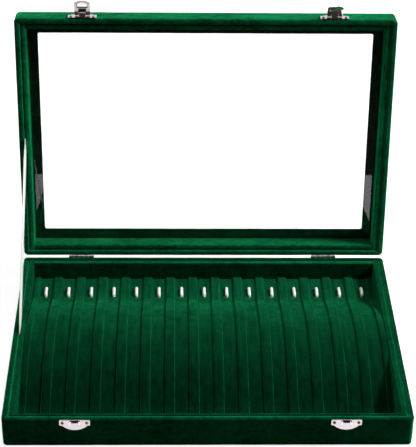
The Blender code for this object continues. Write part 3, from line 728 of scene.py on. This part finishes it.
def build_insert():
    """The board with its cloth, ribs, channels and dimples."""
    slopes = np.gradient([z for _, z in board_line], [y for y, _ in board_line])
    upper, lower = [], []
    for (y, z), slope in zip(board_line, slopes):
        normal = Vector((0, -slope, 1)).normalized()
        if from_edge(y) < upright_edge:
            normal = Vector((0, 0, 1))
        for x, share in across:
            upper.append(Vector((x, y, z)) + normal * cloth_lift(x, y, share))
            lower.append(Vector((x, y, max(z - insert_thickness, board_top))))
    return add_piece("insert_cloth", upper + lower, thick_sheet_faces(len(board_line), len(across)),
                     "base", ["ribbed_insert"], insert_velvet)


insert_cloth = build_insert()
print("points in the insert:", len(insert_cloth.data.vertices))

# %% [markdown]
# ## Hooks
#
# Each hook is a short white bar that rises through the board, bends and lies back over the
# shelf, so that a chain slips under it. A tube carried along the bend makes it, with a rounded
# tip. Smooth moulded plastic has a soft gloss, and light sinks a few millimetres into it before
# it comes out again, which keeps so thin a bar from looking grey on its shaded side.

# %% Mix a plain finish
gloss_spread, grain_shade = 0.25, 0.93


def plain_material(name, colour, roughness, metallic=0.0, grain=900.0, depth=0.00002):
    """A finish with a faint grain, so that its gloss is never perfect."""
    material, tree, shader = new_material(name)
    place = tree.nodes.new("ShaderNodeTexCoord").outputs["Object"]
    grains = noise_socket(tree, grain, 3, place)
    darker = [c * grain_shade for c in colour[:3]] + [1]
    gloss = (roughness * (1 - gloss_spread), roughness * (1 + gloss_spread))
    feed(tree, shader, {
        "Base Color": mixed_colour(tree, grains, darker, colour),
        "Roughness": map_value(tree, grains, (0.0, 1.0), gloss),
        "Normal": stack_bumps(tree, [(grains, depth)]), "Metallic": metallic})
    return material


hook_plastic = plain_material("hook_plastic", (0.97, 0.97, 0.96, 1), 0.26)
light_depth = 0.003
tree = hook_plastic.node_tree
feed(tree, tree.nodes["Principled BSDF"], {
    "Subsurface Weight": 1.0, "Subsurface Radius": (1.0, 1.0, 1.0),
    "Subsurface Scale": light_depth})
print("light sinks", light_depth * 1000, "mm into the plastic")

# %% Carry a tube along a bend
hook_radius, hook_bend, hook_length = 0.0015, 0.0017, 0.0142
hook_lift, hook_inset = 0.0005, 0.0016
hook_sides, bend_steps, tip_steps, tip_start, tip_end = 20, 8, 6, 88, 6


def tube(route, radii, sides):
    """Points and faces of a round tube in the YZ plane, closed at both ends."""
    points = []
    for index, ((y, z), radius) in enumerate(zip(route, radii)):
        before, after = route[max(index - 1, 0)], route[min(index + 1, len(route) - 1)]
        along = Vector((0, after[0] - before[0], after[1] - before[1])).normalized()
        side = Vector((1, 0, 0))
        rise = side.cross(along)
        for corner in range(sides):
            angle = math.tau * corner / sides
            points.append(Vector((0, y, z)) + (side * math.cos(angle) + rise * math.sin(angle))
                          * radius)
    last = (len(route) - 1) * sides
    ends = [tuple(range(sides))[::-1], tuple(range(last, last + sides))]
    return points, ring_faces(len(route), sides, False) + ends


# %% Bend the hooks
bar_z = shelf_height + hook_lift + hook_radius
tip_y = hook_leg_y - hook_radius + hook_length
hook_route = [(hook_leg_y + hook_inset, shelf_height - insert_thickness)]
hook_route += arc((hook_leg_y + hook_inset + hook_bend, bar_z - hook_bend), hook_bend, 180, 90,
                  bend_steps)
hook_radii = [hook_radius] * len(hook_route)
for along, share in arc((0, 0), 1, tip_start, tip_end, tip_steps):
    hook_route.append((tip_y - hook_radius * (1 - along), bar_z))
    hook_radii.append(hook_radius * share)
hook_points, hook_faces = tube(hook_route, hook_radii, hook_sides)
for index in range(channel_count):
    shifted = [p + Vector((channel_x(index), 0, 0)) for p in hook_points]
    add_piece(f"hook_{index + 1:02d}", shifted, hook_faces, "base",
              [f"chain_hook_{index + 1:02d}"], hook_plastic)
print("hooks:", channel_count)

# %% [markdown]
# ## The lid
#
# The lid is another ring of covered wood, but its section turns inwards at the top to make the
# border round the glass. The border's window has small round corners. The flat back of the
# border, seen through the pane, gets the darker copy of the cloth: painted shade.

# %% Draw the section of the lid
window_round, border_step = 0.001, 0.0026
crown = lid_top_z - lid_top_round
under = lid_top_z - frame_flange
outside = arc((rim_round, lid_rim_z + rim_round), rim_round, 270, 180)
outside += stations(outside[-1], (0, crown), rise_step)
outside += arc((lid_top_round, crown), lid_top_round, 180, 90)
lid_section = [(i, h, wall_corner(i)) for i, h in outside]
for inset, height in stations((lid_top_round, lid_top_z), (frame_border - window_round, lid_top_z),
                              border_step):
    share = (inset - lid_top_round) / (frame_border - lid_top_round)
    corner = wall_corner(lid_top_round) + (window_corner - wall_corner(lid_top_round)) * share
    lid_section.append((inset, height, corner))
window = arc((frame_border - window_round, lid_top_z - window_round), window_round, 90, 0)
lid_section += [(i, h, window_corner) for i, h in window + [(frame_border, under)]]
lid_section += [(wall_thickness, under, pocket_corner)]
inside = stations((wall_thickness, under), (wall_thickness, lid_rim_z + rim_round), rise_step)
inside += arc((wall_thickness - rim_round, lid_rim_z + rim_round), rim_round, 0, -90)
lid_section += [(i, h, wall_corner(i)) for i, h in inside]
print("points in the section of the lid:", len(lid_section))

# %% Wrap the frame of the lid
level_slack, level_share = 0.0001, 0.1
recesses = hinge_recesses(lid_rim_z - recess_overrun, hinge_axis.z + hinge_leaf + fit_gap)
lid_walls = wrapped_ring("lid_walls", lid_section, "lid", ["lid_frame"], lid_velvet,
                         [(lid_rim_z, 1), (lid_top_z, -1)], lid_turn, recesses)
# The flat back of the border, behind the pane, gets the darker copy: painted shade.
lid_walls.data.materials.append(smoothed_velvet)
to_shut = lid_turn.inverted()
for polygon in lid_walls.data.polygons:
    middle, facing = to_shut @ polygon.center, to_shut.to_3x3() @ polygon.normal
    if middle.z > under - level_slack and abs(facing.z + 1) < level_share:
        polygon.material_index = 1
paint_rim_highlight(lid_walls, lid_rim_z, lid_turn)
print("points in the lid's frame:", len(lid_walls.data.vertices))

# %% [markdown]
# ## Glass and nickel
#
# The pane is clear glass with a faint green tint. The hasps are bright nickel plate, the hinges
# a darker one, and the small nails in the hasps dark steel. The plates, pins, hinges and nails
# keep the shapes of their solids and only get a finish.

# %% Finish the glass and the metal
glass_ior, metal_grain = 1.52, 1500.0


def metal(name, colour, roughness):
    """A metal, whose grain is finer than that of plastic."""
    return plain_material(name, (*colour, 1), roughness, metallic=1.0, grain=metal_grain)


def finish_nodes(material, names):
    """Give solids a finish in place of their own."""
    for name in names:
        slots = bpy.data.objects[name].data.materials
        slots.clear()
        slots.append(material)


clear_glass, tree, shader = new_material("clear_glass")
feed(tree, shader, {"Base Color": (0.985, 0.995, 0.99, 1), "Roughness": 0.0,
                    "IOR": glass_ior, "Transmission Weight": 1.0})
bright_nickel = metal("bright_nickel", (0.63, 0.56, 0.575), 0.16)
polished_nickel = metal("polished_nickel", (0.88, 0.86, 0.86), 0.10)
dark_nickel = metal("dark_nickel", (0.32, 0.31, 0.30), 0.30)
nail_steel = metal("nail_steel", (0.12, 0.09, 0.08), 0.30)
for material, starts in ((clear_glass, ("lid_glass",)), (case_velvet, ("base_bottom_board",)),
                         (bright_nickel, ("catch_", "latch_")), (dark_nickel, ("hinge_",)),
                         (nail_steel, ("catch_nail", "latch_nail"))):
    names = [item.name for item in bpy.data.objects
             if item.type == "MESH" and item.name.startswith(starts)]
    finish_nodes(material, names)
    print(material.name, "on", len(names), "solids")

# %% [markdown]
# ## The flaps of the hasps
#
# Each flap is pressed from one thin sheet. It has two rolled knuckles at its root, a narrow
# field with three ridges, an arched pocket that snaps over the catch, and an arched free end.
# The sheet leans a little away from the case, as pressed hasps do, and bows towards its end. The
# pocket is a lighter, glossier nickel and the ridges a dark steel, so a flap has three finishes.
# It is drawn in the shut pose, turned up about its pin and then carried over with the lid.

# %% Name the sizes of a flap
flap_width, flap_length, flap_sheet, flap_face = 0.0144, 0.0138, 0.0004, 0.0004
flap_notch, notch_depth, notch_slit = 0.0033, 0.0018, 0.00001
flap_lean, flap_bow, flap_arch, flap_curve = 0.060, 1.6, 0.0016, 2.4
flap_corner, corner_reach = 0.0005, 0.0009
flap_rows, notch_columns, side_columns = 60, 13, 15
pocket_half, pocket_start, pocket_spring, pocket_arc = 0.0050, 0.0069, 0.0097, 0.0030
pocket_depth, pocket_slope, pocket_step, pocket_floor = 0.0006, 0.13, 0.0005, 0.9
ridge_half, ridge_start, ridge_end, ridge_count = 0.0035, 0.0024, 0.0060, 3
ridge_depth, ridge_middle, ridge_swing = 0.0003, 0.6, 0.5
knuckle_radius, knuckle_bore, knuckle_sides = 0.0015, 0.0008, 24
plate_thickness, flap_hang = 0.0008, 0.0055
flap_axis = Vector((0, -half_depth - 2 * fit_gap - plate_thickness - knuckle_radius,
                    lid_rim_z + flap_hang))
hasp_offset, hasp_shift = 0.115, 0.0021
flap_raised = {"left": 71.0, "right": 48.0}
print("a flap is", round(flap_width * 1000, 1), "x", round(flap_length * 1000, 1), "mm")


# %% Press the face of a flap
def soft_step(value):
    """A soft rise from 0 to 1, flat below and above."""
    value = min(max(value, 0.0), 1.0)
    return value * value * (3 - 2 * value)


def pressed_face(x, away):
    """The height of the flap's inner face at a place, and the part that it belongs to."""
    past = max(away - notch_depth, 0.0)
    face, part = flap_face - flap_lean * past - flap_bow * past ** 2, "frame"
    span = math.hypot(x / pocket_half, max(away - pocket_spring, 0.0) / pocket_arc)
    pocket = soft_step((1 - span) / pocket_slope) * soft_step((away - pocket_start) / pocket_step)
    face -= pocket_depth * pocket
    if pocket > pocket_floor:
        part = "pocket"
    if abs(x) < ridge_half and ridge_start < away < ridge_end:
        share = (away - ridge_start) / (ridge_end - ridge_start)
        wave = math.cos(math.tau * ridge_count * share)
        face -= ridge_depth * (ridge_middle - ridge_swing * wave)
        part = "ridges"
    return face, part


def flap_sheet_points(xs, rows):
    """Both faces of the sheet, and the part that each point of the inner face belongs to."""
    half = flap_width / 2
    upper, lower, parts = [], [], []
    for row in range(rows):
        for x in xs:
            root = notch_depth if abs(x) < flap_notch else 0.0
            tip = flap_length - flap_arch * (abs(x) / half) ** flap_curve
            tip -= flap_corner * soft_step((abs(x) - half + corner_reach) / corner_reach)
            away = root + (tip - root) * row / (rows - 1)
            face, part = pressed_face(x, away)
            parts.append(part)
            upper.append((x, face, -away))
            lower.append((x, face - flap_sheet, -away))
    return upper + lower, parts


# %% Roll the knuckles and hang the flaps
def add_knuckle(points, faces, near, far):
    """A bored barrel from one place to another along the pin."""
    start = len(points)
    for x, radius in ((near, knuckle_radius), (far, knuckle_radius), (far, knuckle_bore),
                      (near, knuckle_bore)):
        points += [(x, radius * math.cos(math.tau * i / knuckle_sides),
                    radius * math.sin(math.tau * i / knuckle_sides)) for i in range(knuckle_sides)]
    faces += [tuple(start + v for v in face) for face in ring_faces(4, knuckle_sides)]


def press_flap(side, way):
    """A flap on its pin, its face in nickel, its pocket polished and its ridges dark."""
    half, rows = flap_width / 2, flap_rows
    inner_xs = np.linspace(0, flap_notch, notch_columns)
    outer_xs = np.linspace(flap_notch, half, side_columns)
    rights = list(inner_xs[:-1]) + [flap_notch - notch_slit] + list(outer_xs)
    xs = [-x for x in rights[:0:-1]] + rights
    points, parts = flap_sheet_points(xs, rows)
    faces = thick_sheet_faces(rows, len(xs))
    for sign in (-1, 1):
        add_knuckle(points, faces, sign * flap_notch, sign * (half - fit_gap))
    pin = flap_axis + Vector((way * hasp_offset + hasp_shift, 0, 0))
    turn = lid_turn @ Matrix.Translation(pin) @ Matrix.Rotation(
        -math.radians(flap_raised[side]), 4, "X")
    piece = add_piece(f"flap_{side}", points, faces, f"{side}_flap", [f"latch_flap_{side}"],
                      bright_nickel, turn)
    for finish in (polished_nickel, nail_steel):
        piece.data.materials.append(finish)
    for row in range(rows - 1):
        for column in range(len(xs) - 1):
            inner_face = piece.data.polygons[2 * (row * (len(xs) - 1) + column)]
            part = parts[row * len(xs) + column]
            inner_face.material_index = ("frame", "pocket", "ridges").index(part)
    return piece


flaps = [press_flap("left", -1), press_flap("right", 1)]
print("points in a flap:", len(flaps[0].data.vertices))

# %% [markdown]
# ## The shoulders of the catches
#
# On each side of a catch's loop its plate is folded forward into a small shoulder, which guides
# the flap onto the loop. Each shoulder is a block with a rounded upper half, because at this
# size a fold and a block look the same.

# %% Fold the shoulders of the catches
shoulder_inner, shoulder_outer, shoulder_depth, shoulder_height = 0.0027, 0.0045, 0.0012, 0.0030
shoulder_soft, soft_share, shoulder_rise = 0.0004, 0.3, 0.0003
loop_gap, loop_drop = 0.0001, 0.0015
loop_top_z = base_height - loop_gap - loop_drop
plate_face_y = -half_depth - fit_gap - plate_thickness


def soft_block(low, high, soft):
    """Points and faces of a box with a rounded upper half."""
    points = []
    for height, inset in ((low[2], 0.0), (high[2] - soft, 0.0),
                          (high[2] - soft * soft_share, soft * soft_share), (high[2], soft)):
        x0, x1, y0, y1 = low[0] + inset, high[0] - inset, low[1] + inset, high[1] - inset
        points += [(x0, y0, height), (x1, y0, height), (x1, y1, height), (x0, y1, height)]
    return points, [(0, 1, 2, 3), (12, 15, 14, 13)] + ring_faces(4, 4, False)


for side, way in (("left", -1), ("right", 1)):
    centre = way * hasp_offset + hasp_shift
    for sign, end in ((-1, "a"), (1, "b")):
        xs = sorted(centre + sign * reach for reach in (shoulder_inner, shoulder_outer))
        block = soft_block((xs[0], plate_face_y - shoulder_depth, loop_top_z - shoulder_height),
                           (xs[1], plate_face_y, loop_top_z + shoulder_rise), shoulder_soft)
        add_piece(f"catch_shoulder_{side}_{end}", *block, "base", [], polished_nickel)
print("shoulders stand", shoulder_depth * 1000, "mm forward")

# %% [markdown]
# ## The stay ribbon
#
# A satin ribbon on the left stops the lid from falling back. Its ends are glued into the
# grooves beside the liners and the lid pulls it straight, apart from a slight twist. So it is a
# thin strip from one groove to the other.

# %% Stretch the ribbon
ribbon_width, ribbon_thickness, ribbon_tuck = 0.010, 0.0003, 0.005
ribbon_steps, ribbon_strands = 48, 6
ribbon_twist, twist_rise = math.radians(6.5), 3
ribbon_gap, ribbon_y = 0.0006, 0.004
ribbon_x = -half_width + wall_thickness + ribbon_gap
ribbon_low = Vector((ribbon_x, ribbon_y, base_height))
ribbon_high = lid_turn @ Vector((ribbon_x, ribbon_y, lid_rim_z))
satin = plain_material("satin", (0.93, 0.94, 0.93, 1), 0.42, grain=700.0)


def ribbon_points(start, end):
    """Both faces of the ribbon, which turns a little soon after each end."""
    along, out = (ribbon_high - ribbon_low).normalized(), Vector((1, 0, 0))
    points = []
    for side in (0.5, -0.5):
        for index in range(ribbon_steps + 1):
            share = index / ribbon_steps
            twist = -ribbon_twist * min(1.0, twist_rise * math.sin(math.pi * share))
            facing = Matrix.Rotation(twist, 3, along) @ out
            across_way = facing.cross(along)
            for strand in range(ribbon_strands + 1):
                offset = (strand / ribbon_strands - 0.5) * ribbon_width
                points.append(start + (end - start) * share + across_way * offset
                              + facing * ribbon_thickness * side)
    return points


def stretch_ribbon():
    """The ribbon from one groove to the other."""
    along = (ribbon_high - ribbon_low).normalized()
    start, end = ribbon_low - along * ribbon_tuck, ribbon_high + along * ribbon_tuck
    mesh = bpy.data.meshes.new("ribbon")
    mesh.from_pydata([tuple(p) for p in ribbon_points(start, end)], [],
                     thick_sheet_faces(ribbon_steps + 1, ribbon_strands + 1))
    mesh.shade_smooth()
    mesh.set_sharp_from_angle(angle=crease_angle)
    mesh.materials.append(satin)
    piece = bpy.data.objects.new("ribbon", mesh)
    scene.collection.objects.link(piece)
    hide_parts("stay_ribbon")
    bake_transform(piece)
    return piece


ribbon = stretch_ribbon()
print("points in the ribbon:", len(ribbon.data.vertices))

# %% [markdown]
# ## The white backdrop
#
# The background of the photograph is plain white, on the table and behind it. A lamp strong
# enough to bleach a table would bleach the case too, so the floor and the world glow instead:
# white for a ray that comes from the camera, straight or through the pane, and much less for
# the light that falls on the case. In the mirrors of glass and nickel the backdrop is white
# toward the back and dark toward the front, as in a room whose near side is unlit. The floor
# glows a little less near the case, so that the case's shadow still shows on it.

# %% Tell the rays apart
pane_bounces = 2


def math_node(tree, operation, first, second):
    """Join two sockets or numbers with one sum."""
    node = tree.nodes.new("ShaderNodeMath")
    node.operation = operation
    feed(tree, node, {0: first, 1: second})
    return node.outputs[0]


def backdrop_share(tree, mirror_share):
    """1 where a ray comes from the camera or straight through the pane; less in a mirror."""
    path = tree.nodes.new("ShaderNodeLightPath")
    camera_ray, glossy, through = (path.outputs[f"Is {kind} Ray"]
                                   for kind in ("Camera", "Glossy", "Transmission"))
    early = math_node(tree, "LESS_THAN", path.outputs["Ray Depth"], pane_bounces + 0.5)
    straight = math_node(tree, "MULTIPLY", through, early)
    bounced = math_node(tree, "MAXIMUM", glossy, through)
    mirrored = math_node(tree, "MULTIPLY", bounced, mirror_share)
    direct = math_node(tree, "MAXIMUM", camera_ray, straight)
    return math_node(tree, "MAXIMUM", direct, mirrored)


# %% Lay the floor
floor_size, floor_drop = 6.0, 0.0002
near_radius, far_radius, near_glow, far_glow, front_glow = 0.35, 0.9, 0.86, 1.0, 1.3
table_front, table_tone, dark_tone = -0.235, 0.45, 0.03
floor_mesh = bpy.data.meshes.new("floor")
floor_mesh.from_pydata([(-floor_size, -floor_size, 0), (floor_size, -floor_size, 0),
                        (floor_size, floor_size, 0), (-floor_size, floor_size, 0)], [],
                       [(0, 1, 2, 3)])
floor = bpy.data.objects.new("floor", floor_mesh)
floor.location.z = -floor_drop
scene.collection.objects.link(floor)
print("the floor is", 2 * floor_size, "m wide")

# %% Make the floor glow
floor_material, tree, shader = new_material("floor_white")
floor_mesh.materials.append(floor_material)
place = tree.nodes.new("ShaderNodeNewGeometry").outputs["Position"]
on_table = math_node(tree, "GREATER_THAN", split_axes(tree, place)["Y"], table_front)
away = tree.nodes.new("ShaderNodeVectorMath")
away.operation = "LENGTH"
feed(tree, away, {0: place})
table_glow = map_value(tree, away.outputs["Value"], (near_radius, far_radius),
                       (near_glow, far_glow))
glow = map_value(tree, on_table, (0.0, 1.0), (front_glow, table_glow))
seen = backdrop_share(tree, on_table)
feed(tree, shader, {
    "Base Color": mixed_colour(tree, on_table, (*[dark_tone] * 3, 1), (*[table_tone] * 3, 1)),
    "Roughness": 0.9, "Specular IOR Level": 0.0, "Emission Color": (1, 1, 1, 1),
    "Emission Strength": math_node(tree, "MULTIPLY", seen, glow)})
print("in mirrors the table ends", round(-table_front * 1000), "mm in front of the middle")

# %% Fill the world
world_light, mirror_dark, horizon = 0.06, 0.02, (-0.15, 0.25)
world = bpy.data.worlds.new("studio")
scene.world = world
world.use_nodes = True
tree = world.node_tree
toward = tree.nodes.new("ShaderNodeTexCoord").outputs["Generated"]
behind = map_value(tree, split_axes(tree, toward)["Y"], horizon, (mirror_dark, 1.0), smooth=True)
seen = backdrop_share(tree, behind)
feed(tree, tree.nodes["Background"], {
    "Color": (1, 1, 1, 1), "Strength": math_node(tree, "MAXIMUM", seen, world_light)})
print("the world lights the case with", world_light)

# %% [markdown]
# ## The lamps
#
# The ribs throw their shade to the left and the slopes that face right light up, so the main
# lamp hangs at the right, a little under halfway up the sky, and is small enough for crisp
# edges. A wider, weaker lamp nearly overhead softens the shade and brightens what lies flat.
# Each is set by the level that it gives a white surface, which is easier to judge than watts.

# %% Hang the lamps
lamp_aim = Vector((0, 0.03, 0.05))


def bright_lamp(name, turned, raised, distance, size, level):
    """A lamp that lights a white surface facing it to this level; its angles are in degrees."""
    turned, raised = math.radians(turned), math.radians(raised)
    way = Vector((math.cos(raised) * math.sin(turned), math.cos(raised) * math.cos(turned),
                  math.sin(raised)))
    data = bpy.data.lights.new(name, "AREA")
    data.shape, data.size = "SQUARE", size
    data.energy = level * (math.pi * distance) ** 2
    lamp = bpy.data.objects.new(name, data)
    scene.collection.objects.link(lamp)
    lamp.location = lamp_aim + way * distance
    lamp.rotation_mode = "QUATERNION"
    lamp.rotation_quaternion = (lamp_aim - lamp.location).to_track_quat("-Z", "Y")
    return lamp


for lamp in (bright_lamp("key_lamp", turned=90, raised=42, distance=1.6, size=0.34, level=1.2),
             bright_lamp("top_lamp", turned=0, raised=78, distance=1.6, size=0.7, level=0.36)):
    print(lamp.name, "gives", round(lamp.data.energy, 1), "watts")
scene.view_settings.view_transform = "Standard"
